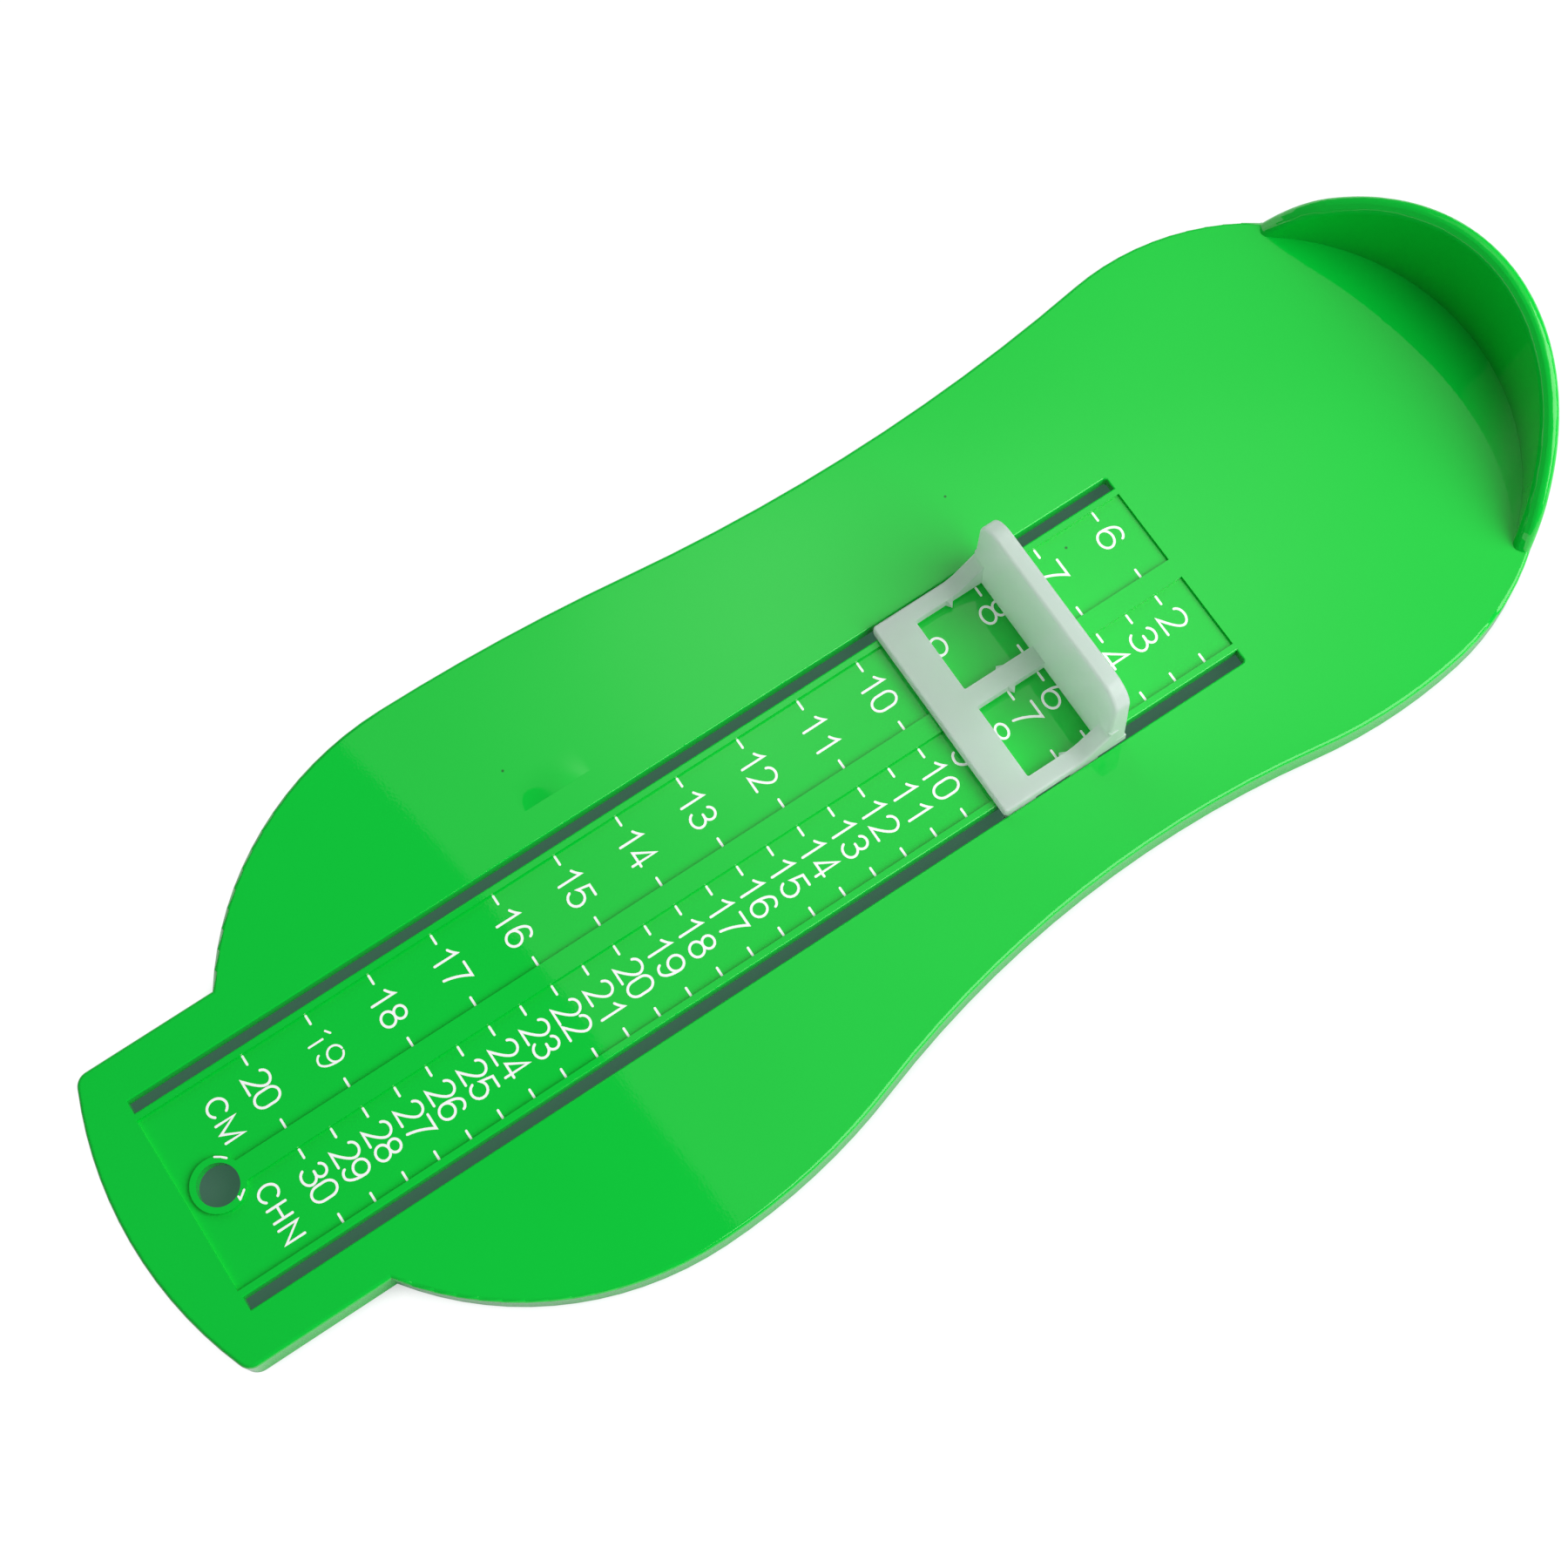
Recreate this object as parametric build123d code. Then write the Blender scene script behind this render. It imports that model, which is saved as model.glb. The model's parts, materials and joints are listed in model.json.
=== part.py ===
from build123d import *

import math
import os

# Foot measuring device: a sole-shaped base, moulded in one piece with its ruler and its heel wall,
# and a toe slide that is clipped into the base and pushed along the ruler until it meets the toes.
#
# Millimetres. +X runs across the ruler, +Y along it towards the heel, and +Z up. The pieces are shaped
# with x = 0 on the ruler's centre line, y = 0 at the scale's zero, which is the inner foot of the heel
# wall, and z = 0 on the surface that the base stands on, so a reading of n centimetres is at y = -10 n.
# At the end they are moved together, so that the origin is on that surface, under the whole's middle.

# ---- Base: plate and skirt
plate_top = 5.0             # height of the surface that the foot stands on
plate_thickness = 2.0
skirt_thickness = 2.0       # the rim around the hollow underside
top_edge_radius = 0.6

# ---- Base: outline of the sole, from circles that touch one another
wall_foot_thickness = 2.6   # thickness of the heel wall where it leaves the plate
heel_radius = 38.7
heel_x = -5.5
heel_y = wall_foot_thickness - heel_radius
heel_side_radius = 78.0     # the right side of the heel is flatter, and widest a little further forward
heel_side_y = -42.1
waist_left_radius = 278.0
waist_right_radius = 155.0
ball_y = -159.2             # the widest part of the sole
ball_left = 45.35           # its reach to the left and right of the centre line
ball_right = 43.65
ball_left_side_radius = 308.0
ball_right_side_radius = 92.0
ball_left_front_radius = 47.0
ball_right_front_radius = 48.45

# ---- Base: grip tab at the toe end
tab_half_width = 23.5
slot_toe_y = -216.1         # the toe end of the slots that the slide runs in
slot_land = 9.05            # from the slots' toe end to the tab's end
tab_end_y = slot_toe_y - slot_land
tab_end_radius = 60.0
tab_corner_radius = 2.2

# ---- Base: heel wall
wall_height = 17.85         # height above the plate at the scale's zero, before the rim is rounded
wall_slope = 1.05           # fall of the rim for each millimetre towards the toes
wall_inner_lean = 0.017     # outward lean of each face, for each millimetre of height
wall_outer_lean = 0.011
wall_end_angle = 35.3       # from the sideways direction to each end of the wall, about the heel's centre
wall_left_end_lean = 35.0   # lean of each end away from the toes, in degrees
wall_right_end_lean = 22.0
wall_left_end_radius = 13.0  # where the rim turns down to the plate at each end
wall_right_end_radius = 10.0
wall_rim_radius = 1.0

# ---- Base: ruler, two sunken panels either side of a rib, between two slots
slot_inner_x = 14.7
slot_outer_x = 16.7
slot_heel_y = -55.5
slot_corner_radius = 0.5
slot_edge_radius = 0.25
recess_depth = 0.6
recess_half_width = 13.65
recess_heel_margin = 0.1    # how far the panels' ends are from the slots' ends
recess_toe_margin = 0.2
recess_heel_y = slot_heel_y + recess_heel_margin
recess_toe_y = slot_toe_y - recess_toe_margin
rib_half_width = 1.55
strip_rib_thickness = 1.2   # stiffening ribs under the strip between the slots
strip_rib_x = 11.5
strip_rib_clearance = 0.8   # from the ribs' lower edge to the surface that the base stands on

# ---- Base: hanging hole
hole_from_slot_end = 4.7    # along the ruler, from the toe end of the slots
hole_y = slot_toe_y + hole_from_slot_end
hole_radius = 3.0
hole_collar_radius = 3.9

# ---- Toe slide: place and fits
reading = 84.5              # the reading under the pointers in the stored pose
side_clearance = 0.4        # from the slide's sides to the slots' outer edges, each side when centred
side_shift = 0.3            # the slide leans on the right-hand edge of its slots
seat_gap = 0.05             # between the slide's frame and the plate that it rides on
hook_gap = 0.3              # between the hooks and the underside of the plate
slot_end_play = 0.3         # left between the legs and the end of a slot where the slide stops

# ---- Toe slide: frame, measured along y from the pointers
frame_thickness = 1.8
frame_toe = 11.3            # from the pointers to the frame's toe end
frame_corner_radius = 0.55
frame_edge_radius = 0.35
window_toe = 5.8            # from the pointers to the windows' toe edge
window_outer_x = 13.75
window_inner_x = 1.5
window_corner_radius = 0.3
pointer_length = 0.8
pointer_width = 1.2
pointer_tip_height = 0.4    # the pointers slope down to the scale

# ---- Toe slide: wall that meets the toes
toe_wall_face = 5.55        # from the pointers to the foot of the wall, on their side
toe_wall_thickness = 3.2    # at its foot
toe_wall_top = 22.4         # height above the surface that the base stands on
toe_wall_end_draft = 0.45   # how far each end leans in from the frame's side up to the top
toe_wall_toe_lean = 0.056   # lean of each face towards the heel, for each millimetre of height
toe_wall_heel_lean = 0.01
toe_wall_corner_radius = 3.9
toe_wall_edge_radius = 0.5
cheek_length = 4.1          # sloped cheeks that brace the wall on the side rails
cheek_height = 3.5
cheek_foot_radius = 4.0     # where the slope leaves the rail
cheek_top_radius = 1.0      # where it meets the wall

# ---- Toe slide: legs that pass through the slots, with snap hooks under the plate
leg_thickness = 1.0
leg_length = 4.6
leg_heel = 4.2              # from the pointers to the heel end of the rear legs
leg_bottom = 0.8            # height of the legs' lower ends
hook_reach = 0.95           # with the leg's thickness, just less than the slots' width
hook_height = 1.2


def circle_touching(first, second, radius, side):
    """The circle of this radius that touches two others from outside, on their left (-1) or right (1)."""
    (centre_a, radius_a), (centre_b, radius_b) = first, second
    apart = centre_b - centre_a
    along = apart.normalized()
    across = Vector(-along.Y, along.X) * side
    reach_a = radius_a + radius
    reach_b = radius_b + radius
    run = (reach_a**2 - reach_b**2 + apart.length**2) / (2 * apart.length)
    return centre_a + along * run + across * math.sqrt(reach_a**2 - run**2), radius


def touch_point(inner, outer):
    """Where two touching circles meet, seen from the first one's centre towards the second one's."""
    (centre_a, radius_a), (centre_b, _) = inner, outer
    return centre_a + (centre_b - centre_a).normalized() * radius_a


def arc_about(circle, start, end):
    """The shorter arc of a circle between two points on it."""
    centre, radius = circle
    middle = centre + ((start - centre) + (end - centre)).normalized() * radius
    return ThreePointArc(start, middle, end)


def front_point(circle, x):
    """The point of a circle at this x, on its side towards the toes."""
    centre, radius = circle
    return Vector(x, centre.Y - math.sqrt(radius**2 - (x - centre.X) ** 2))


def sole_face():
    """The sole without its tab, as a face: heel, waist and ball, of arcs that run into one another."""
    heel = (Vector(heel_x, heel_y), heel_radius)
    heel_side_x = heel_x - math.sqrt((heel_side_radius - heel_radius) ** 2 - (heel_y - heel_side_y) ** 2)
    heel_side = (Vector(heel_side_x, heel_side_y), heel_side_radius)
    left_side = (Vector(ball_left_side_radius - ball_left, ball_y), ball_left_side_radius)
    right_side = (Vector(ball_right - ball_right_side_radius, ball_y), ball_right_side_radius)
    left_front = (Vector(ball_left_front_radius - ball_left, ball_y), ball_left_front_radius)
    right_front = (Vector(ball_right - ball_right_front_radius, ball_y), ball_right_front_radius)
    left_waist = circle_touching(heel, left_side, waist_left_radius, -1)
    right_waist = circle_touching(heel_side, right_side, waist_right_radius, 1)

    back = Vector(heel_x, heel_y + heel_radius)
    heel_left = touch_point(heel, left_waist)
    waist_left = touch_point(left_side, left_waist)
    widest_left = Vector(-ball_left, ball_y)
    notch_left = front_point(left_front, -tab_half_width)
    notch_right = front_point(right_front, tab_half_width)
    widest_right = Vector(ball_right, ball_y)
    waist_right = touch_point(right_side, right_waist)
    heel_side_end = touch_point(heel_side, right_waist)
    heel_right = heel[0] + (heel[0] - heel_side[0]).normalized() * heel_radius
    edges = [
        arc_about(heel, back, heel_left),
        arc_about(left_waist, heel_left, waist_left),
        arc_about(left_side, waist_left, widest_left),
        arc_about(left_front, widest_left, notch_left),
        Line(notch_left, notch_right),
        arc_about(right_front, notch_right, widest_right),
        arc_about(right_side, widest_right, waist_right),
        arc_about(right_waist, waist_right, heel_side_end),
        arc_about(heel_side, heel_side_end, heel_right),
        arc_about(heel, heel_right, back),
    ]
    return make_face(edges)


def tab_face():
    """The grip tab, as a face that reaches back into the sole."""
    length = ball_y - tab_end_y
    strip = Pos(0, ball_y - length / 2) * Rectangle(2 * tab_half_width, length)
    tab = strip & Pos(0, tab_end_y + tab_end_radius) * Circle(tab_end_radius)
    return fillet(tab.vertices().group_by(Axis.Y)[0], tab_corner_radius)


def plan_face():
    """The whole outline of the base, seen from above."""
    return sole_face() + tab_face()


def box_between(x, y, z):
    """A box from its (low, high) pairs along each axis."""
    size = [high - low for low, high in (x, y, z)]
    low_corner = Pos(x[0], y[0], z[0])
    return low_corner * Box(*size, align=(Align.MIN, Align.MIN, Align.MIN))


def base_shell():
    """The plate with its rounded top edge, hollow underneath inside the skirt."""
    plan = plan_face()
    block = extrude(plan, plate_top)
    block = fillet(block.faces().sort_by(Axis.Z)[-1].edges(), top_edge_radius)
    hollow = extrude(offset(plan, -skirt_thickness), plate_top - plate_thickness)
    return block - hollow


def beyond_wall(end_lean, end_radius):
    """What is cut off the ring at its right: all above the slope and beyond the end, rounded between."""
    span = 6 * heel_radius
    slope = Rot(math.degrees(math.atan(wall_slope)), 0, 0)
    above = Box(span, span, span, align=(Align.CENTER, Align.CENTER, Align.MIN))
    beyond = Box(span, span, span, align=(Align.CENTER, Align.MAX, Align.CENTER))
    cut = Pos(-heel_x, -heel_y, wall_height) * slope * above
    cut += Rot(0, 0, wall_end_angle) * Rot(-end_lean, 0, 0) * beyond
    end = Vector(heel_radius, 0).rotate(Axis.Z, wall_end_angle)
    return fillet(cut.edges().sort_by_distance(end)[0], end_radius)


def runs_along_ring(edge):
    """Whether an edge runs along the ring about the z axis, and not across its thickness."""
    outwards = Vector(edge.center().X, edge.center().Y).normalized()
    return abs(edge.tangent_at(0.5).dot(outwards)) < 0.3


def heel_wall():
    """The heel wall: part of a leaning ring on the plate's edge, cut to a slope and to two round ends."""
    foot = -plate_thickness
    top = 2 * wall_height
    inner = heel_radius - wall_foot_thickness
    profile = Plane.XZ * make_face(
        Polyline(
            (heel_radius + wall_outer_lean * foot, foot),
            (heel_radius + wall_outer_lean * top, top),
            (inner + wall_inner_lean * top, top),
            (inner + wall_inner_lean * foot, foot),
            close=True,
        )
    )
    wall = revolve(profile, Axis.Z, revolution_arc=180)
    wall -= beyond_wall(wall_right_end_lean, wall_right_end_radius)
    wall -= mirror(beyond_wall(wall_left_end_lean, wall_left_end_radius), Plane.YZ)
    rim = wall.edges().filter_by(runs_along_ring)
    return Pos(heel_x, heel_y, plate_top) * fillet(rim - rim.group_by(Axis.Z)[0], wall_rim_radius)


def ruler_recess():
    """What is sunk into the plate: both panels, leaving the rib between them and the hole's collar."""
    length = recess_heel_y - recess_toe_y
    middle_y = (recess_heel_y + recess_toe_y) / 2
    panel = Pos(0, middle_y) * Rectangle(2 * recess_half_width, length)
    rib = Pos(0, (recess_heel_y + hole_y) / 2) * Rectangle(2 * rib_half_width, recess_heel_y - hole_y)
    collar = Pos(0, hole_y) * Circle(hole_collar_radius)
    sunk = panel - rib - collar
    return Pos(0, 0, plate_top - recess_depth) * extrude(sunk, recess_depth)


def slot(side):
    """One slot right through the plate, its outer corner at the heel end rounded."""
    length = slot_heel_y - slot_toe_y
    width = slot_outer_x - slot_inner_x
    place = Pos(side * (slot_inner_x + slot_outer_x) / 2, (slot_heel_y + slot_toe_y) / 2)
    outline = place * Rectangle(width, length)
    outer_heel = outline.vertices().group_by(Axis.Y)[-1].sort_by(Axis.X)[-1 if side > 0 else 0]
    outline = fillet(outer_heel, slot_corner_radius)
    return extrude(outline, plate_top)


def is_slot_edge(edge):
    """Whether an edge is one of the slots' long upper edges."""
    middle = edge.center()
    beside_slot = min(abs(abs(middle.X) - slot_inner_x), abs(abs(middle.X) - slot_outer_x)) < 0.01
    return beside_slot and abs(middle.Z - plate_top) < 0.01 and edge.length > 2 * slot_outer_x


def strip_ribs():
    """Two stiffening ribs along the underside of the strip between the slots."""
    length = (slot_toe_y, slot_heel_y)
    height = (strip_rib_clearance, plate_top - recess_depth - 0.5 * (plate_thickness - recess_depth))
    ribs = []
    for side in (-1, 1):
        edges = sorted((side * strip_rib_x, side * (strip_rib_x + strip_rib_thickness)))
        ribs.append(box_between(edges, length, height))
    return ribs


def make_base():
    """The base moulding: plate, skirt, heel wall, ruler, slots and hanging hole in one solid."""
    base = base_shell() + heel_wall() + strip_ribs()
    base -= ruler_recess()
    base -= [slot(-1), slot(1)]
    base = fillet(base.edges().filter_by(is_slot_edge), slot_edge_radius)
    hole = Cylinder(hole_radius, plate_top, align=(Align.CENTER, Align.CENTER, Align.MIN))
    return base - Pos(0, hole_y, 0) * hole


def slide_half_width():
    """Half the width of the toe slide, from the slots that its sides run in."""
    return slot_outer_x - side_clearance


def pointer(edge_x, inward):
    """A pointer on one long edge of a window, sloping down to its tip over the scale."""
    outline = Polyline((0, -pointer_width / 2), (pointer_length, 0), (0, pointer_width / 2), close=True)
    slope = Polyline(
        (0, 0), (pointer_length, 0), (pointer_length, pointer_tip_height), (0, frame_thickness), close=True
    )
    wedge = extrude(make_face(outline), frame_thickness)
    wedge &= extrude(Plane.XZ * make_face(slope), pointer_width, both=True)
    place = Pos(edge_x, 0, 0)
    return place * wedge if inward > 0 else place * mirror(wedge, Plane.YZ)


def cheek(side):
    """A sloped brace on one side rail, run smoothly into the rail and into the toe wall's face."""
    half = slide_half_width()
    top = cheek_height + cheek_top_radius
    behind = toe_wall_face + toe_wall_thickness / 2
    profile = make_face(
        Polyline(
            (toe_wall_face - 2 * cheek_length, frame_thickness / 2),
            (toe_wall_face - 2 * cheek_length, frame_thickness),
            (toe_wall_face - cheek_length, frame_thickness),
            (toe_wall_face + toe_wall_toe_lean * cheek_height, frame_thickness + cheek_height),
            (toe_wall_face + toe_wall_toe_lean * top, frame_thickness + top),
            (behind, frame_thickness + top),
            (behind, frame_thickness / 2),
            close=True,
        )
    )
    corners = profile.vertices().sort_by(Axis.X)
    profile = fillet(corners[2], cheek_foot_radius)
    against_wall = profile.vertices().sort_by_distance((toe_wall_face, frame_thickness + cheek_height))[0]
    profile = fillet(against_wall, cheek_top_radius)
    left_edge = window_outer_x if side > 0 else -half
    return Pos(left_edge, 0, 0) * extrude(Plane.YZ * profile, half - window_outer_x)


def is_frame_rim(edge):
    """Whether an edge is on the outer upper rim of the frame and its cheeks, up to the wall."""
    middle = edge.center()
    half = slide_half_width()
    on_side = abs(abs(middle.X) - half) < 0.01 and middle.Y < toe_wall_face + toe_wall_thickness / 4
    at_toe = middle.Y < frame_corner_radius - frame_toe
    return middle.Z > frame_thickness - 0.01 and (on_side or at_toe)


def slide_frame():
    """The frame that rides on the plate, with its cheeks, two windows and a pair of pointers in each."""
    toe = -frame_toe
    heel = toe_wall_face + toe_wall_thickness
    half = slide_half_width()
    plate = Pos(0, (toe + heel) / 2) * Rectangle(2 * half, heel - toe)
    plate = fillet(plate.vertices().group_by(Axis.Y)[0], frame_corner_radius)
    pointers = []
    for side in (-1, 1):
        middle = side * (window_outer_x + window_inner_x) / 2
        width = window_outer_x - window_inner_x
        length = window_toe + toe_wall_face
        window = Pos(middle, (toe_wall_face - window_toe) / 2) * Rectangle(width, length)
        plate -= fillet(window.vertices().group_by(Axis.Y)[0], window_corner_radius)
        pointers += [pointer(middle - width / 2, 1), pointer(middle + width / 2, -1)]
    frame = extrude(plate, frame_thickness) + cheek(-1) + cheek(1)
    return fillet(frame.edges().filter_by(is_frame_rim), frame_edge_radius) + pointers


def toe_wall(floor):
    """The upright wall, thinner towards its top, its upper corners rounded and its edges softened."""
    half = slide_half_width()
    height = toe_wall_top - floor
    top_half = half - toe_wall_end_draft
    face = make_face(Polyline((-half, 0), (half, 0), (top_half, height), (-top_half, height), close=True))
    face = fillet(face.vertices().group_by(Axis.Y)[-1], toe_wall_corner_radius)
    rise = height - frame_thickness
    heel = toe_wall_face + toe_wall_thickness
    section = Polyline(
        (toe_wall_face - toe_wall_toe_lean * frame_thickness, 0),
        (heel - toe_wall_heel_lean * frame_thickness, 0),
        (heel + toe_wall_heel_lean * rise, height),
        (toe_wall_face + toe_wall_toe_lean * rise, height),
        close=True,
    )
    wall = extrude(Plane.XZ * face, -2 * heel) & extrude(Plane.YZ * make_face(section), half, both=True)
    outline = wall.edges().filter_by(lambda edge: edge.center().Z > frame_thickness)
    return fillet(outline.filter_by(lambda edge: abs(edge.tangent_at(0.5).Y) < 0.5), toe_wall_edge_radius)


def leg(side, heel_end, floor):
    """A leg down through one slot with a snap hook facing outwards under the plate."""
    half = slide_half_width()
    hook_top = plate_top - plate_thickness - hook_gap - floor
    bottom = leg_bottom - floor
    profile = Plane.XZ * make_face(
        Polyline(
            (half - leg_thickness, frame_thickness / 2),
            (half, frame_thickness / 2),
            (half, hook_top),
            (half + hook_reach, hook_top),
            (half + hook_reach, hook_top - hook_height / 3),
            (half, hook_top - hook_height),
            (half, bottom),
            (half - leg_thickness, bottom),
            close=True,
        )
    )
    right = Pos(0, heel_end, 0) * extrude(profile, leg_length)
    return right if side > 0 else mirror(right, Plane.YZ)


def make_slide():
    """The toe slide in one solid, seated on the plate with its pointers at the stored reading."""
    floor = plate_top + seat_gap
    slide = slide_frame() + toe_wall(floor)
    for side in (-1, 1):
        for heel_end in (leg_heel, leg_length - frame_toe + frame_corner_radius):
            slide += leg(side, heel_end, floor)
    return Pos(side_shift, -reading, floor) * slide


def travel():
    """How far the slide runs towards heel and toes before its legs reach the slots' ends."""
    rear_leg_end = leg_heel - reading
    front_leg_end = frame_corner_radius - frame_toe - reading
    to_heel = slot_heel_y - slot_end_play - rear_leg_end
    to_toe = front_leg_end - slot_end_play - slot_toe_y
    return to_heel, to_toe


base = make_base()
slide = make_slide()

box = Compound([base, slide]).bounding_box()
to_row_frame = Pos(-box.center().X, -box.center().Y, -box.min.Z)

os.makedirs("parts", exist_ok=True)
export_step(to_row_frame * base, "parts/base.step")
export_step(to_row_frame * slide, "parts/toe_slide.step")

to_heel, to_toe = travel()
hole_place = (to_row_frame * Pos(0, hole_y, plate_top)).position
print("travel to heel and toe:", round(to_heel, 3), round(to_toe, 3))
print("row frame shift:", to_row_frame.position)
print("hanging hole:", hole_place)
print("size:", box.size)
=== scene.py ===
"""The looks of a foot gauge: its plastics, the printed scale and small marks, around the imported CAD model."""

import json
import math

import bpy
from mathutils import Matrix, Vector
from mathutils.geometry import delaunay_2d_cdt


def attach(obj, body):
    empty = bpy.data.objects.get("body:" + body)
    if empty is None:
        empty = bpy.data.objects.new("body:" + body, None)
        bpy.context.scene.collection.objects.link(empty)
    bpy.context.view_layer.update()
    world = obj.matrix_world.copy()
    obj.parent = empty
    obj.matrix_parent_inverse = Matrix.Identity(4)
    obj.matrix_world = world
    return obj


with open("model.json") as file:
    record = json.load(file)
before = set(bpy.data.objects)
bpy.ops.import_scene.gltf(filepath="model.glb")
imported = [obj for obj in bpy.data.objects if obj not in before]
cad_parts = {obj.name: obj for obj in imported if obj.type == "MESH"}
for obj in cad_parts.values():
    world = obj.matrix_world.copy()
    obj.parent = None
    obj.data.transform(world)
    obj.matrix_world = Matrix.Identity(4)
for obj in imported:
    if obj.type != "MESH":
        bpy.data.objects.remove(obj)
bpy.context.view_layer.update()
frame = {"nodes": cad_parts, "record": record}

MM = 0.001

# ---- The ruler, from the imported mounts: the zero of its scale lies at the foot of the heel wall
mounts = {mount["name"]: mount for mount in frame["record"]["mounts"]}
hole = mounts["hanging_hole"]
HOLE_TO_ZERO = 211.4 * MM
RULER_X = hole["pos_m"][0]     # its centre line
HOLE_Y = hole["pos_m"][1]
ZERO_Y = HOLE_Y + HOLE_TO_ZERO
PLATE_TOP = hole["pos_m"][2] + hole["dims"]["length_mm"] * MM / 2
RECESS_DEPTH = 0.6 * MM
RECESS_FLOOR = PLATE_TOP - RECESS_DEPTH

# ---- The print
INK_THICKNESS = 0.03 * MM
INK_SUNK = 0.01 * MM           # how far a sheet of ink reaches into the plate
STROKE = 0.36 * MM
WORN_STROKE = 0.29 * MM
TICK = 0.34 * MM
NUMERAL_HEIGHT = 4.05 * MM
DIGIT_WIDTH = 2.58 * MM        # each digit of a number with two
SINGLE_WIDTH = 3.1 * MM        # a number with one digit is wider
ONE_WIDTH = 1.42 * MM
ONE_HEIGHT = 0.96              # the 1 is a little lower than the other digits
SHIFT_BEFORE_ONE = 0.3 * MM    # the first digit stands closer to a 1
LABEL_HEIGHT = 3.2 * MM
LABEL_Y = -206.4 * MM
CENTIMETRES = range(6, 21)
SHOE_SIZES = range(2, 31)
CENTIMETRE_PITCH = 10 * MM
SIZE_PITCH = 5 * MM
SIZE_START = 10                # shoe size n is at the length of (n + 10) half centimetres
WORN_NUMBER = 19               # the centimetre number whose ink is thin and broken

# ---- Left and right edges of what is printed, in millimetres from the ruler's centre line
CENTIMETRE_TICKS = ((-13.62, -11.95), (-3.25, -1.62))
CENTIMETRE_NUMERALS = (-10.68, -5.45)
CENTIMETRE_LABEL = {"C": (-10.68, -7.95), "M": (-7.3, -4.2)}
SIZE_TICKS = ((1.63, 3.3), (12.0, 13.6))
SIZE_NUMERALS = (4.5, 9.78)
SIZE_LABEL = {"C": (3.25, 5.85), "H": (6.45, 8.75), "N": (9.55, 12.0)}

# ---- Ink that missed the labels, in millimetres from the hole's centre: (start, end, width)
INK_FLECKS = (
    ((-3.55, 1.45), (-3.05, 2.2), 0.26),
    ((-2.95, 2.3), (-2.5, 2.75), 0.3),
    ((2.5, 2.6), (3.35, 1.5), 0.3),
    ((3.35, 1.5), (2.85, 1.5), 0.28),
)


# ---------------------------------------------------------------- characters

def arc(centre, radii, start, end, steps=14):
    """Points along an elliptical arc, in degrees anticlockwise from +x."""
    points = []
    for i in range(steps + 1):
        angle = math.radians(start + (end - start) * i / steps)
        points.append((centre[0] + radii[0] * math.cos(angle), centre[1] + radii[1] * math.sin(angle)))
    return points


def loop(centre, radii, start, steps):
    """Points once round an ellipse, for a closed stroke."""
    return arc(centre, radii, start, start + 360, steps)[:-1]


def bend(start, middle, end, steps=8):
    """Points along a quadratic curve."""
    points = []
    for i in range(steps + 1):
        t = i / steps
        weights = ((1 - t) ** 2, 2 * t * (1 - t), t**2)
        points.append(tuple(sum(w * p[k] for w, p in zip(weights, (start, middle, end))) for k in (0, 1)))
    return points


def half_turn(strokes):
    """A character upside down."""
    return [([(1 - x, 1 - y) for x, y in points], closed) for points, closed in strokes]


# ---- Each character as the centre lines of its strokes, (points, closed), in a box from (0, 0) to (1, 1)
TOP_OF_TWO = arc((0.5, 0.73), (0.5, 0.27), 170, -20)
SPINE_OF_SIX = arc((0.52, 0.8), (0.42, 0.2), 15, 100, 7) + bend((0.4, 0.99), (0.0, 0.86), (0.0, 0.3), 9)
GLYPHS = {
    "0": [(arc((0.5, 0.66), (0.5, 0.34), 0, 180) + arc((0.5, 0.34), (0.5, 0.34), 180, 360), True)],
    "1": [(bend((0.0, 0.75), (0.62, 0.86), (1.0, 1.0), 5) + [(1.0, 0.0)], False)],
    "2": [(TOP_OF_TWO + bend(TOP_OF_TWO[-1], (0.86, 0.42), (0.0, 0.0))[1:] + [(1.0, 0.0)], False)],
    "3": [
        (arc((0.48, 0.765), (0.42, 0.235), 160, -80), False),
        ([(0.34, 0.545)] + arc((0.47, 0.275), (0.53, 0.275), 85, -160), False),
    ],
    "4": [([(0.72, 0.0), (0.72, 1.0), (0.0, 0.27), (1.0, 0.27)], False)],
    "5": [([(0.93, 1.0), (0.2, 1.0)] + arc((0.47, 0.32), (0.53, 0.32), 142, -158), False)],
    "6": [(loop((0.5, 0.3), (0.5, 0.3), 0, 28), True), (SPINE_OF_SIX, False)],
    "7": [([(0.0, 1.0)] + bend((1.0, 1.0), (0.48, 0.5), (0.36, 0.0)), False)],
    "8": [(loop((0.5, 0.77), (0.42, 0.23), -90, 24), True), (loop((0.5, 0.27), (0.5, 0.27), 90, 28), True)],
    "C": [(arc((0.53, 0.5), (0.53, 0.5), 38, 322, 24), False)],
    "H": [([(x, 0.0), (x, 1.0)], False) for x in (0.0, 1.0)] + [([(0.0, 0.52), (1.0, 0.52)], False)],
    "M": [([(0.0, 0.0), (0.0, 1.0), (0.5, 0.0), (1.0, 1.0), (1.0, 0.0)], False)],
    "N": [([(0.0, 0.0), (0.0, 1.0), (1.0, 0.0), (1.0, 1.0)], False)],
}
GLYPHS["9"] = half_turn(GLYPHS["6"])
WORN_GLYPHS = {
    "1": [([(0.3, 0.84), (0.85, 0.97)], False), ([(1.0, 0.6), (1.0, 0.0)], False)],
    "9": [(arc((0.5, 0.7), (0.5, 0.3), 78, -262, 26), False), GLYPHS["9"][1]],
}


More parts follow.
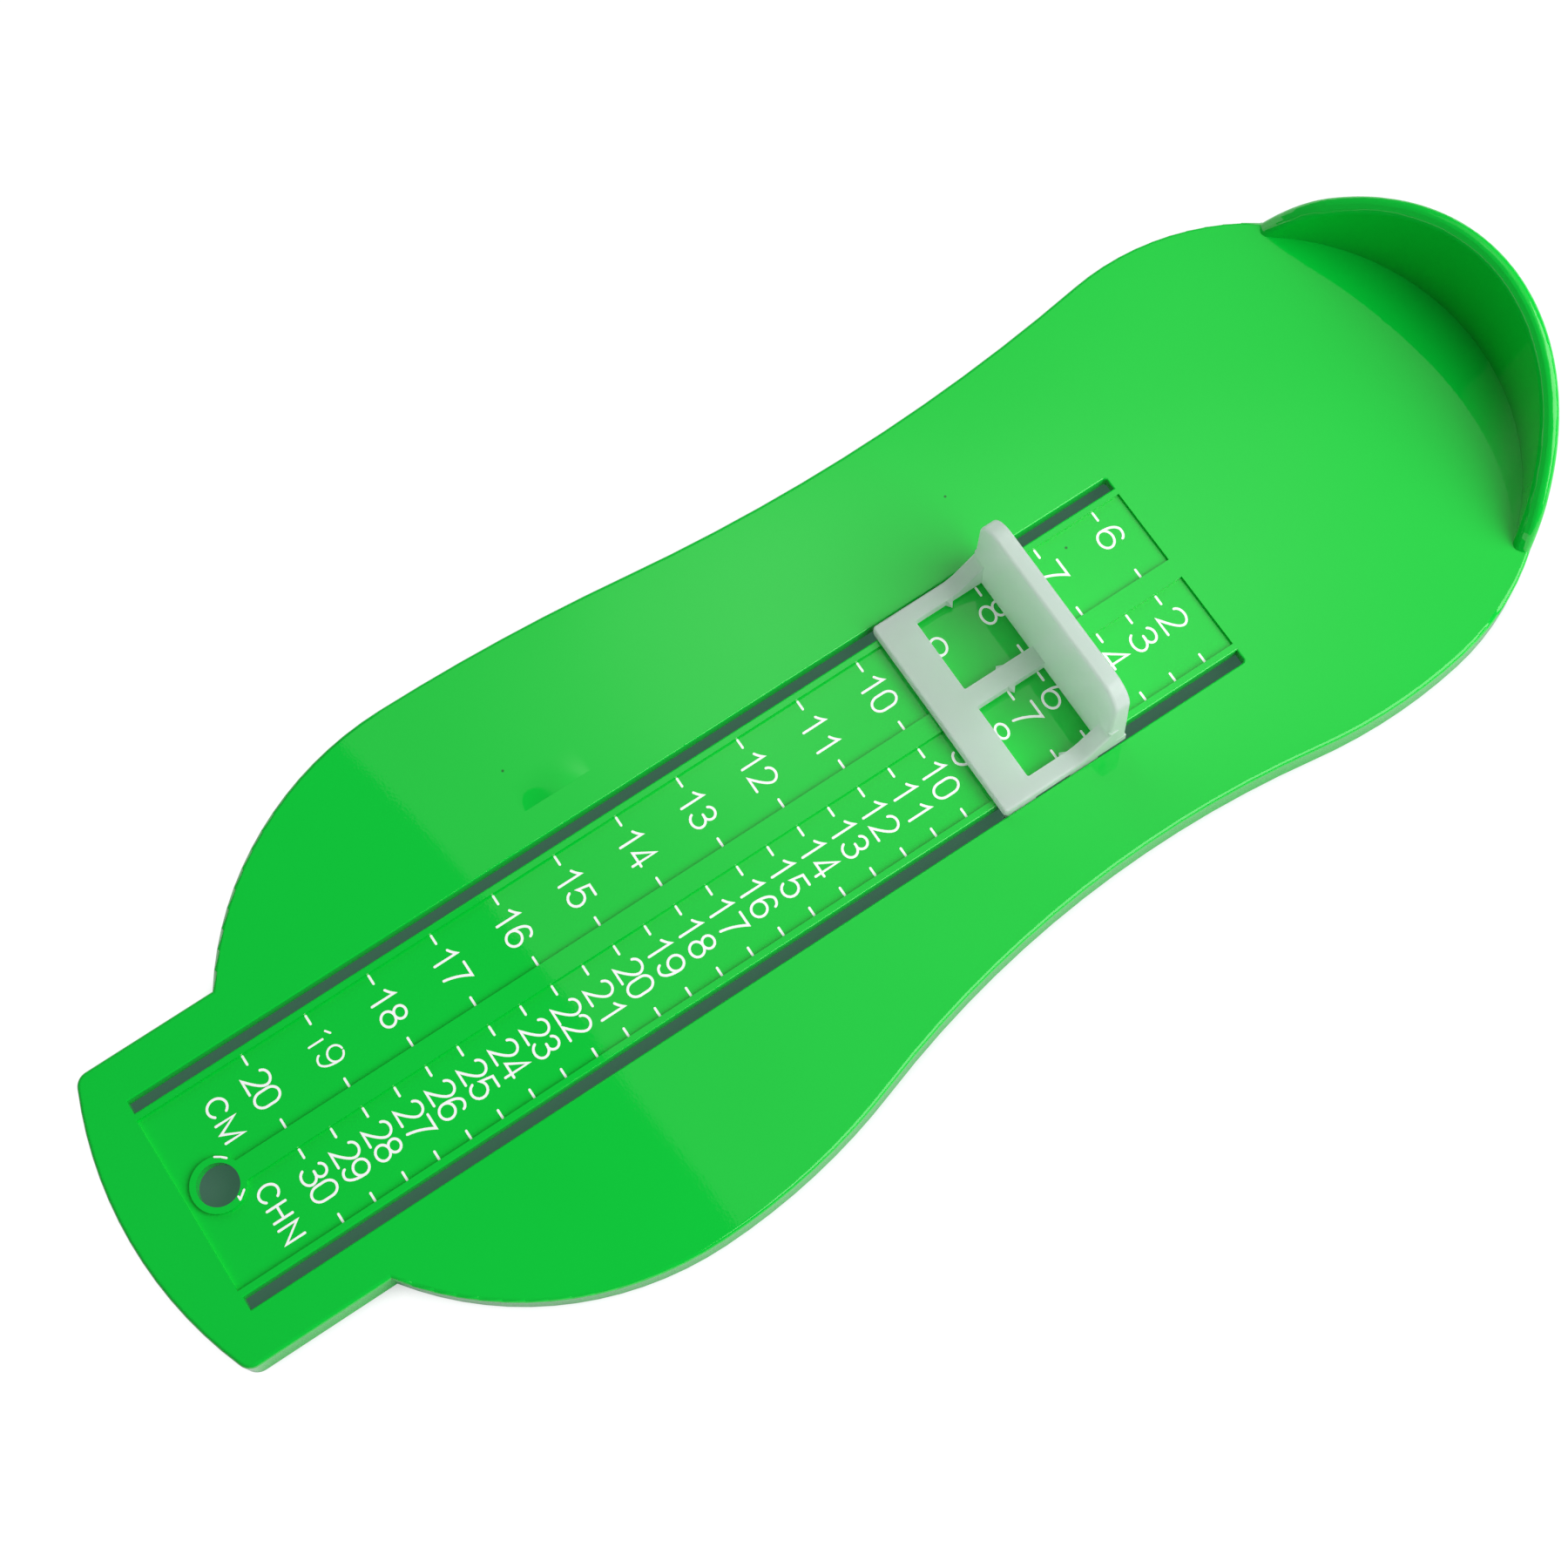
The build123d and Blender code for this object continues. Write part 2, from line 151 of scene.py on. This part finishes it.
def set_glyph(glyph, low, size, width):
    """A character's strokes, fitted into the box at low with this size, as (points, closed, width)."""
    start = (low[0] + width / 2, low[1] + width / 2)
    span = (size[0] - width, size[1] - width)
    strokes = []
    for points, closed in glyph:
        placed = [Vector((start[0] + x * span[0], start[1] + y * span[1])) for x, y in points]
        strokes.append((placed, closed, width))
    return strokes


# ---------------------------------------------------------------- sheets of ink

LEAST_MITRE_COSINE = 0.4       # keeps the mitre at a sharp corner from reaching far out
INSIDE_TRIANGLES = 1           # the kind of result that the triangulation gives
UNION_TOLERANCE = 1e-4         # in millimetres


def side_points(points, closed, width):
    """The left and right edge points of a stroke along its centre line, mitred at its corners."""
    count = len(points)
    left, right = [], []
    for i, point in enumerate(points):
        before = points[(i - 1) % count] if closed or i > 0 else point
        after = points[(i + 1) % count] if closed or i < count - 1 else point
        into = (point - before).normalized() if before is not point else (after - point).normalized()
        out = (after - point).normalized() if after is not point else into
        across = Vector((-(into.y + out.y), into.x + out.x)).normalized()
        normal = Vector((-into.y, into.x))
        reach = width / 2 / max(across.dot(normal), LEAST_MITRE_COSINE)
        left.append(point + across * reach)
        right.append(point - across * reach)
    return left, right


def cap(point, along, width, steps=6):
    """A half disc that rounds off the end of a stroke."""
    start = math.atan2(along.y, along.x) - math.pi / 2
    angles = [start + math.pi * i / steps for i in range(steps + 1)]
    return [point + Vector((math.cos(angle), math.sin(angle))) * width / 2 for angle in angles]


def stroke_polygons(points, closed, width):
    """A stroke as small convex polygons that touch: one for each run, and a round cap on each open end."""
    left, right = side_points(points, closed, width)
    count = len(points)
    polygons = []
    for i in range(count if closed else count - 1):
        j = (i + 1) % count
        polygons.append([right[i], right[j], left[j], left[i]])
    if not closed:
        polygons.append(cap(points[0], points[0] - points[1], width))
        polygons.append(cap(points[-1], points[-1] - points[-2], width))
    return polygons


def union(strokes):
    """The union of all strokes, as corners in millimetres and triangles between them."""
    corners, polygons = [], []
    for points, closed, width in strokes:
        for polygon in stroke_polygons(points, closed, width):
            polygons.append(list(range(len(corners), len(corners) + len(polygon))))
            corners += [corner / MM for corner in polygon]
    result = delaunay_2d_cdt(corners, [], polygons, INSIDE_TRIANGLES, UNION_TOLERANCE)
    places, _, faces, _, _, origins = result
    # A triangle without an origin lies in no stroke: it fills the inside of a 0 or an 8
    return places, [list(face) for face, origin in zip(faces, origins) if origin]


def flat_ink(name, strokes, floor):
    """One mesh of thin ink: the union of all strokes, as a closed sheet that lies on the floor."""
    places, faces = union(strokes)
    count = len(places)
    heights = (floor + INK_THICKNESS, floor - INK_SUNK)
    verts = [(place.x * MM, place.y * MM, height) for height in heights for place in places]
    edges = [edge for face in faces for edge in zip(face, face[1:] + face[:1])]
    known = set(edges)
    walls = [(a, a + count, b + count, b) for a, b in edges if (b, a) not in known]
    under = [[i + count for i in reversed(face)] for face in faces]
    mesh = bpy.data.meshes.new(name)
    mesh.from_pydata(verts, [], faces + under + walls)
    mesh.validate()
    piece = bpy.data.objects.new(name, mesh)
    bpy.context.scene.collection.objects.link(piece)
    return piece


def lay_ink(name, strokes, floor, ink):
    """A sheet of ink on the base."""
    piece = flat_ink(name, strokes, floor)
    piece.data.materials.append(ink)
    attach(piece, "base")


# ---------------------------------------------------------------- the printed scale

def numeral_strokes(text, edges, y, worn=False):
    """The strokes of one number between its left and right edges, with its middle at y."""
    glyphs = {**GLYPHS, **WORN_GLYPHS} if worn else GLYPHS
    width = WORN_STROKE if worn else STROKE
    low_y = y - NUMERAL_HEIGHT / 2
    left, right = (RULER_X + edge * MM for edge in edges)
    if len(text) == 1:
        return set_glyph(glyphs[text], (left, low_y), (SINGLE_WIDTH, NUMERAL_HEIGHT), width)
    if text[1] == "1":
        left += SHIFT_BEFORE_ONE
    strokes = []
    for place, digit in enumerate(text):
        size = (DIGIT_WIDTH, NUMERAL_HEIGHT)
        if digit == "1":
            size = (ONE_WIDTH, NUMERAL_HEIGHT * ONE_HEIGHT)
        low_x = left if place == 0 else right - size[0]
        strokes += set_glyph(glyphs[digit], (low_x, low_y), size, width)
    return strokes


def tick_strokes(columns, y):
    """The short lines beside a number."""
    strokes = []
    for low, high in columns:
        ends = [Vector((RULER_X + x * MM, y)) for x in (low + TICK / MM / 2, high - TICK / MM / 2)]
        strokes.append((ends, False, TICK))
    return strokes


def label_strokes(label):
    """The label under a column."""
    strokes = []
    for letter, (left, right) in label.items():
        low = (RULER_X + left * MM, ZERO_Y + LABEL_Y - LABEL_HEIGHT / 2)
        strokes += set_glyph(GLYPHS[letter], low, ((right - left) * MM, LABEL_HEIGHT), STROKE)
    return strokes


def fleck_strokes():
    """The small flecks of ink beside the hole."""
    strokes = []
    for start, end, width in INK_FLECKS:
        ends = [Vector((RULER_X + x * MM, HOLE_Y + y * MM)) for x, y in (start, end)]
        strokes.append((ends, False, width * MM))
    return strokes


def printed_scale(ink):
    """Both columns of the scale, their labels, and the flecks of ink that missed."""
    centimetres, sizes = [], []
    for number in CENTIMETRES:
        y = ZERO_Y - number * CENTIMETRE_PITCH
        centimetres += tick_strokes(CENTIMETRE_TICKS, y)
        centimetres += numeral_strokes(str(number), CENTIMETRE_NUMERALS, y, number == WORN_NUMBER)
    for number in SHOE_SIZES:
        y = ZERO_Y - (number + SIZE_START) * SIZE_PITCH
        sizes += tick_strokes(SIZE_TICKS, y)
        sizes += numeral_strokes(str(number), SIZE_NUMERALS, y)
    lay_ink("scale_centimetres", centimetres + label_strokes(CENTIMETRE_LABEL), RECESS_FLOOR, ink)
    lay_ink("scale_sizes", sizes + label_strokes(SIZE_LABEL), RECESS_FLOOR, ink)
    lay_ink("ink_flecks", fleck_strokes(), PLATE_TOP, ink)


# ---------------------------------------------------------------- node trees

NOISE_RANGE = (0.3, 0.7)       # where most of a noise texture's values lie


class NodeTree:
    """The nodes of a material, a lamp or the world, and short ways to add to them.

    Each value for a node is another node's output, which gets linked to it, or a plain value.
    """

    def __init__(self, owner):
        owner.use_nodes = True
        self.nodes = owner.node_tree.nodes
        self.links = owner.node_tree.links

    def feed(self, node, inputs):
        """A node with values for its inputs, by their names or numbers."""
        for key, value in inputs.items():
            if isinstance(value, bpy.types.NodeSocket):
                self.links.new(value, node.inputs[key])
            else:
                node.inputs[key].default_value = value
        return node

    def add(self, kind, inputs=None, **settings):
        """A new node."""
        node = self.nodes.new("ShaderNode" + kind)
        for name, setting in settings.items():
            setattr(node, name, setting)
        return self.feed(node, inputs or {})

    def noise(self, place, scale, detail=2.0):
        """A noise texture, in waves per metre."""
        return self.add("TexNoise", {"Vector": place, "Scale": scale, "Detail": detail}).outputs["Fac"]

    def remap(self, value, low, high, source=NOISE_RANGE, curve="LINEAR"):
        """A value stretched from its source's range to the one from low to high."""
        inputs = {"Value": value, "From Min": source[0], "From Max": source[1], "To Min": low, "To Max": high}
        return self.add("MapRange", inputs, interpolation_type=curve).outputs["Result"]

    def maths(self, operation, first, second=0.0):
        """One operation on two numbers."""
        return self.add("Math", {0: first, 1: second}, operation=operation).outputs["Value"]

    def distance(self, place, centre):
        """How far a place is from a centre."""
        return self.add("VectorMath", {0: place, 1: centre}, operation="DISTANCE").outputs["Value"]

    def separate(self, place):
        """A place's X, Y and Z."""
        return self.add("SeparateXYZ", {"Vector": place}).outputs

    def mix_colour(self, factor, first, second):
        """Two colours mixed. They go by number, because the node has more inputs of the same names."""
        return self.add("Mix", {"Factor": factor, 6: first, 7: second}, data_type="RGBA").outputs[2]

    def mix_shaders(self, share, first, second):
        """Two shaders mixed, by the second one's share."""
        return self.add("MixShader", {0: share, 1: first.outputs[0], 2: second.outputs[0]})

    def bump(self, height, depth, normal=None):
        """A bump of this depth in metres, on top of another one where there is one."""
        inputs = {"Height": height, "Strength": 1.0, "Distance": depth}
        if normal is not None:
            inputs["Normal"] = normal
        return self.add("Bump", inputs).outputs["Normal"]

    def show(self, output, shader):
        """The shader that the tree gives out."""
        self.feed(self.nodes[output], {"Surface": shader.outputs[0]})


def new_material(name):
    """An empty material with its node tree and its Principled shader."""
    material = bpy.data.materials.new(name)
    tree = NodeTree(material)
    return material, tree, tree.nodes["Principled BSDF"]


# ---------------------------------------------------------------- materials

# ---- Colours as red, green, blue and alpha: each pair of shades is mixed by noise
WHITE = (1, 1, 1, 1)
GREEN_SHADES = ((0.001, 0.62, 0.042, 1), (0.002, 0.66, 0.050, 1))
MILKY_SHADES = ((0.93, 0.985, 0.975, 1), (0.955, 0.99, 0.985, 1))
INK_SHADES = ((0.955, 0.96, 0.965, 1), WHITE)
DIRT_ON_GREEN = (0.01, 0.08, 0.02, 1)
DIRT_ON_MILKY = (0.30, 0.20, 0.12, 1)

PLASTIC_IOR = 1.5
THROUGH_SHARE = 0.58           # of the milky plastic's light comes out on the far side
PAINTED_INK_GLOW = 0.1                 # painted light: the ink glows a little, so that it stays white in shade

# ---- Specks of dirt, in metres, from the ruler's zero and up from the table: (place, radius)
PLATE_SPECKS = (
    ((-0.02785, -0.14948, 0.005), 0.00017),
    ((0.02401, -0.21268, 0.005), 0.00020),
    ((-0.01128, -0.06607, 0.0044), 0.00018),
    ((-0.02715, -0.07584, 0.005), 0.00016),
)
SLIDE_SPECKS = (((-0.0043, -0.0783, 0.0237), 0.00022),)
SPECK_COVER = 0.85             # how much of the plastic's colour a speck hides in its middle
SPECK_CORE = 0.6               # of its radius is evenly dark
SPECK_FADE = 1.6               # of its radius is where it ends

# ---- A dent in the plate with a straight crease, in metres, and its place from the ruler's zero
DENT_PLACE = (-0.0211, -0.1447)    # the middle of the crease
DENT_HALF_LENGTH = 0.0056
DENT_REACH = 0.0056            # how far the dent fades out from its crease, towards the left side
DENT_DEPTH = 0.00045
DENT_DULLNESS = 0.16


def specks(tree, place, colour, marks, dirt):
    """A colour with small round spots of dirt in it, at places on the ruler."""
    for (x, y, z), radius in marks:
        away = tree.distance(place, (RULER_X + x, ZERO_Y + y, z))
        cover = tree.remap(away, SPECK_COVER, 0.0, source=(radius * SPECK_CORE, radius * SPECK_FADE))
        colour = tree.mix_colour(cover, colour, dirt)
    return colour


def dent(tree, place):
    """The height, from 0 to 1, of a small dent with a sharp crease on its right."""
    parts = tree.separate(place)
    crease_x = RULER_X + DENT_PLACE[0]
    middle_y = ZERO_Y + DENT_PLACE[1]
    rise = tree.remap(parts["X"], 0.0, 1.0, source=(crease_x - DENT_REACH, crease_x))
    left_of_crease = tree.maths("LESS_THAN", parts["X"], crease_x)
    across = tree.maths("MULTIPLY", tree.maths("POWER", rise, 2.0), left_of_crease)
    ends = (middle_y - DENT_HALF_LENGTH, middle_y + DENT_HALF_LENGTH)
    from_end = tree.maths("PINGPONG", tree.remap(parts["Y"], 0.0, 1.0, source=ends), 0.5)
    along = tree.remap(from_end, 0.0, 1.0, source=(0.0, 0.5), curve="SMOOTHSTEP")
    return tree.maths("MULTIPLY", across, along)


def green_plastic():
    """Glossy green: even colour, a faintly wavy moulded surface, fine grain and slightly duller patches."""
    material, tree, shader = new_material("green_plastic")
    place = tree.add("TexCoord").outputs["Object"]
    colour = tree.mix_colour(tree.noise(place, scale=28.0), *GREEN_SHADES)
    patches = tree.remap(tree.noise(place, scale=45.0, detail=3.0), low=0.014, high=0.03)
    hollow = dent(tree, place)
    waves = tree.bump(tree.noise(place, scale=22.0, detail=1.0), depth=0.00035)
    dented = tree.bump(hollow, DENT_DEPTH, waves)
    tree.feed(shader, {
        "Base Color": specks(tree, place, colour, PLATE_SPECKS, DIRT_ON_GREEN),
        "Roughness": tree.maths("ADD", patches, tree.maths("MULTIPLY", hollow, DENT_DULLNESS)),
        "IOR": PLASTIC_IOR,
        "Normal": tree.bump(tree.noise(place, scale=2600.0), depth=0.0000012, normal=dented),
    })
    return material


def milky_plastic():
    """Milky, translucent and slightly glossy: part of the light that meets it comes out on the far side."""
    material, tree, shader = new_material("milky_plastic")
    place = tree.add("TexCoord").outputs["Object"]
    colour = tree.mix_colour(tree.noise(place, scale=160.0), *MILKY_SHADES)
    colour = specks(tree, place, colour, SLIDE_SPECKS, DIRT_ON_MILKY)
    grain = tree.bump(tree.noise(place, scale=3200.0), depth=0.000002)
    tree.feed(shader, {
        "Base Color": colour,
        "Roughness": tree.remap(tree.noise(place, scale=420.0, detail=3.0), low=0.14, high=0.22),
        "IOR": PLASTIC_IOR,
        "Normal": grain,
    })
    through = tree.add("BsdfTranslucent", {"Color": colour, "Normal": grain})
    tree.show("Material Output", tree.mix_shaders(THROUGH_SHARE, shader, through))
    return material


def white_ink():
    """White printing ink: matt, a touch uneven, and with a little painted glow that keeps it white in shade."""
    material, tree, shader = new_material("white_ink")
    speckle = tree.noise(tree.add("TexCoord").outputs["Object"], scale=4200.0)
    tree.feed(shader, {
        "Base Color": tree.mix_colour(speckle, *INK_SHADES),
        "Roughness": tree.remap(speckle, low=0.35, high=0.5),
        "Normal": tree.bump(speckle, depth=0.000004),
        "Emission Color": WHITE,
        "Emission Strength": PAINTED_INK_GLOW,
    })
    return material


def dress(node, material):
    """A CAD node in a better material."""
    slots = frame["nodes"][node].data.materials
    for i in range(len(slots)):
        slots[i] = material


# ---------------------------------------------------------------- stage

CAMERA_PLACE = Vector((103.62, -56.71, 380.19)) * MM
CAMERA_TARGET = Vector((-3.49, -7.05, 5.0)) * MM
CAMERA_TURN = math.radians(57.27)    # how far the heel leans to the right of the picture's vertical
CAMERA_LENS = 65.57
SENSOR = 36.0

# ---- The floor
FLOOR_HALF_SIZE = 3.0
FLOOR_GREY = (0.8, 0.8, 0.8, 1)
SKY_REACH = 0.025                        # how far around it the floor looks for open sky
SHADE = (0.10, 0.58)                     # the shares of open sky at which it looks black, and white
GLOSS_SHADE = (0.35, 0.85)               # the same, as the object mirrors it
PAINTED_SHADE_Y = ZERO_Y - 0.136               # the middle of the painted dark shade under the slots and the hole
PAINTED_SHADE_HALF_SIZE = (0.018, 0.082)
PAINTED_GREEN_SHADE = (0.033, 0.102, 0.062, 1)  # painted shade and painted green light: the floor's dim green glow under the plate and in the object's deepest shade
PAINTED_SHADE_GREY = (0.05, 0.08, 0.07, 1)     # painted shade: as seen, the floor gives back only this share of what the lamps send down the slots, darker and greener than its plain grey

# ---- The lamps, in metres: a level softbox over the heel, a key from the right and a fill from the left
SOFTBOX_HEIGHT = 0.5
SOFTBOX_EDGE = (-0.05, -0.030)           # the middle of its edge towards the toes
SOFTBOX_TURN = math.radians(6.6)
SOFTBOX_SIZE = (0.80, 0.70)
SOFTBOX_LEVEL = 0.44
HOT_SPOTS = (                            # brighter places on its face: (place, spread, level)
    ((-0.200, 0.080, SOFTBOX_HEIGHT), 0.062, 0.85),
    ((-0.135, 0.195, SOFTBOX_HEIGHT), 0.085, 0.65),
)
KEY_PLACE = (0.45, 0.37, 0.55)
KEY_SIZE = (0.75, 0.75)
KEY_LEVEL = 3.95
FILL_PLACE = (-0.75, 0.10, 0.45)
FILL_SIZE = (0.5, 0.5)
FILL_LEVEL = 1.8
STUDIO_LEVEL = 0.12


def add_camera():
    """The camera at the photograph's place, turned so that the heel lies to the upper right."""
    ahead = (CAMERA_TARGET - CAMERA_PLACE).normalized()
    heel_up = (Vector((0, 1, 0)) - ahead * ahead.y).normalized()
    heel_right = ahead.cross(heel_up)
    up = heel_up * math.cos(CAMERA_TURN) - heel_right * math.sin(CAMERA_TURN)
    right = heel_right * math.cos(CAMERA_TURN) + heel_up * math.sin(CAMERA_TURN)
    data = bpy.data.cameras.new("camera")
    data.lens = CAMERA_LENS
    data.sensor_width = SENSOR
    data.clip_start = 0.01
    data.clip_end = 20.0
    camera = bpy.data.objects.new("camera", data)
    axes = Matrix((right, up, -ahead)).transposed()
    camera.matrix_world = Matrix.Translation(CAMERA_PLACE) @ axes.to_4x4()
    bpy.context.scene.collection.objects.link(camera)
    bpy.context.scene.camera = camera


def add_softbox(name, place, target, size, radiance):
    """A rectangular lamp at a place in metres, facing its target, with the radiance of its face."""
    data = bpy.data.lights.new(name, "AREA")
    data.shape = "RECTANGLE"
    data.size, data.size_y = size
    data.energy = radiance * math.pi * size[0] * size[1]
    lamp = bpy.data.objects.new(name, data)
    lamp.location = place
    lamp.rotation_mode = "QUATERNION"
    lamp.rotation_quaternion = (Vector(target) - Vector(place)).to_track_quat("-Z", "Y")
    lamp.visible_camera = False
    bpy.context.scene.collection.objects.link(lamp)
    return lamp


def add_hot_spots(lamp, even, spots):
    """A lamp's face with an even level and round brighter spots on it."""
    tree = NodeTree(lamp.data)
    place = tree.add("NewGeometry").outputs["Position"]
    total = even
    for centre, spread, level in spots:
        spreads_away = tree.maths("DIVIDE", tree.distance(place, centre), spread)
        bell = tree.maths("POWER", 1 / math.e, tree.maths("POWER", spreads_away, 2.0))
        total = tree.maths("ADD", tree.maths("MULTIPLY", bell, level), total)
    tree.feed(tree.nodes["Emission"], {"Strength": total})


def add_lamps():
    """Three softboxes. The level of the first comes from its nodes, and nothing mirrors the last."""
    turn = Matrix.Rotation(SOFTBOX_TURN, 4, "Z")
    centre = Vector((*SOFTBOX_EDGE, SOFTBOX_HEIGHT)) + turn @ Vector((0.0, SOFTBOX_SIZE[1] / 2, 0.0))
    softbox = add_softbox("overhead_softbox", centre, (centre.x, centre.y, 0.0), SOFTBOX_SIZE, 1.0)
    softbox.rotation_quaternion = turn.to_quaternion()
    add_hot_spots(softbox, SOFTBOX_LEVEL, HOT_SPOTS)
    add_softbox("key_softbox", KEY_PLACE, (0, 0, 0), KEY_SIZE, KEY_LEVEL)
    fill = add_softbox("fill_softbox", FILL_PLACE, (0, 0, 0), FILL_SIZE, FILL_LEVEL)
    fill.visible_glossy = False


def seen_ray(tree):
    """1 for rays from the camera, from gloss and through clear things, and 0 for light on the object."""
    path = tree.add("LightPath").outputs
    total = tree.maths("MAXIMUM", path["Is Camera Ray"], path["Is Glossy Ray"])
    return tree.maths("MAXIMUM", total, path["Is Transmission Ray"])


def floor_shade(tree):
    """How white the floor looks, from 0 in the object's shade to 1 in the open."""
    open_sky = tree.add("AmbientOcclusion", {"Distance": SKY_REACH}).outputs["AO"]
    in_gloss = tree.add("LightPath").outputs["Is Glossy Ray"]
    limits = [tree.remap(in_gloss, *pair, source=(0.0, 1.0)) for pair in zip(SHADE, GLOSS_SHADE)]
    return tree.remap(open_sky, 0.0, 1.0, source=limits)


def uncovered(tree):
    """0 on the part of the floor under the slots and the hole, where its dark shade is painted, and 1 around
    it.
    """
    place = tree.separate(tree.add("NewGeometry").outputs["Position"])
    beyond = []
    for axis, middle, half in (("X", RULER_X, PAINTED_SHADE_HALF_SIZE[0]), ("Y", PAINTED_SHADE_Y, PAINTED_SHADE_HALF_SIZE[1])):
        away = tree.maths("ABSOLUTE", tree.maths("SUBTRACT", place[axis], middle))
        beyond.append(tree.maths("GREATER_THAN", away, half))
    return tree.maths("MAXIMUM", *beyond)


def floor_material():
    """Plain grey for light on the object. To the eye it glows white in the open, with painted shade near the
    object and painted dark green shade where it is covered.
    """
    material, tree, shader = new_material("floor")
    tree.nodes.remove(shader)
    in_open = tree.maths("MULTIPLY", floor_shade(tree), uncovered(tree))
    # painted shade: the floor's glow goes from white in the open to dim green near and under the object
    glow = tree.add("Emission", {"Color": tree.mix_colour(in_open, PAINTED_GREEN_SHADE, WHITE)})
    dark = tree.add("BsdfDiffuse", {"Color": PAINTED_SHADE_GREY})
    shown = tree.add("AddShader", {0: glow.outputs[0], 1: dark.outputs[0]})
    plain = tree.add("BsdfDiffuse", {"Color": FLOOR_GREY})
    tree.show("Material Output", tree.mix_shaders(seen_ray(tree), plain, shown))
    return material


def add_floor():
    """A white floor with the object's soft shadow painted into its glow, and painted dark where the object
    covers it.
    """
    mesh = bpy.data.meshes.new("floor")
    signs = ((-1, -1), (1, -1), (1, 1), (-1, 1))
    mesh.from_pydata([(x * FLOOR_HALF_SIZE, y * FLOOR_HALF_SIZE, 0) for x, y in signs], [], [(0, 1, 2, 3)])
    mesh.materials.append(floor_material())
    floor = bpy.data.objects.new("floor", mesh)
    bpy.context.scene.collection.objects.link(floor)


def set_world():
    """A dim studio in front of a white background."""
    world = bpy.data.worlds.new("studio")
    bpy.context.scene.world = world
    tree = NodeTree(world)
    studio = tree.feed(tree.nodes["Background"], {"Color": WHITE, "Strength": STUDIO_LEVEL})
    backdrop = tree.add("Background", {"Color": WHITE})
    seen = tree.add("LightPath").outputs["Is Camera Ray"]
    tree.show("World Output", tree.mix_shaders(seen, studio, backdrop))


# ---------------------------------------------------------------- the whole scene

bpy.context.scene.view_settings.view_transform = "Standard"
add_camera()
add_floor()
set_world()
add_lamps()
dress("base", green_plastic())
dress("toe_slide", milky_plastic())
printed_scale(white_ink())
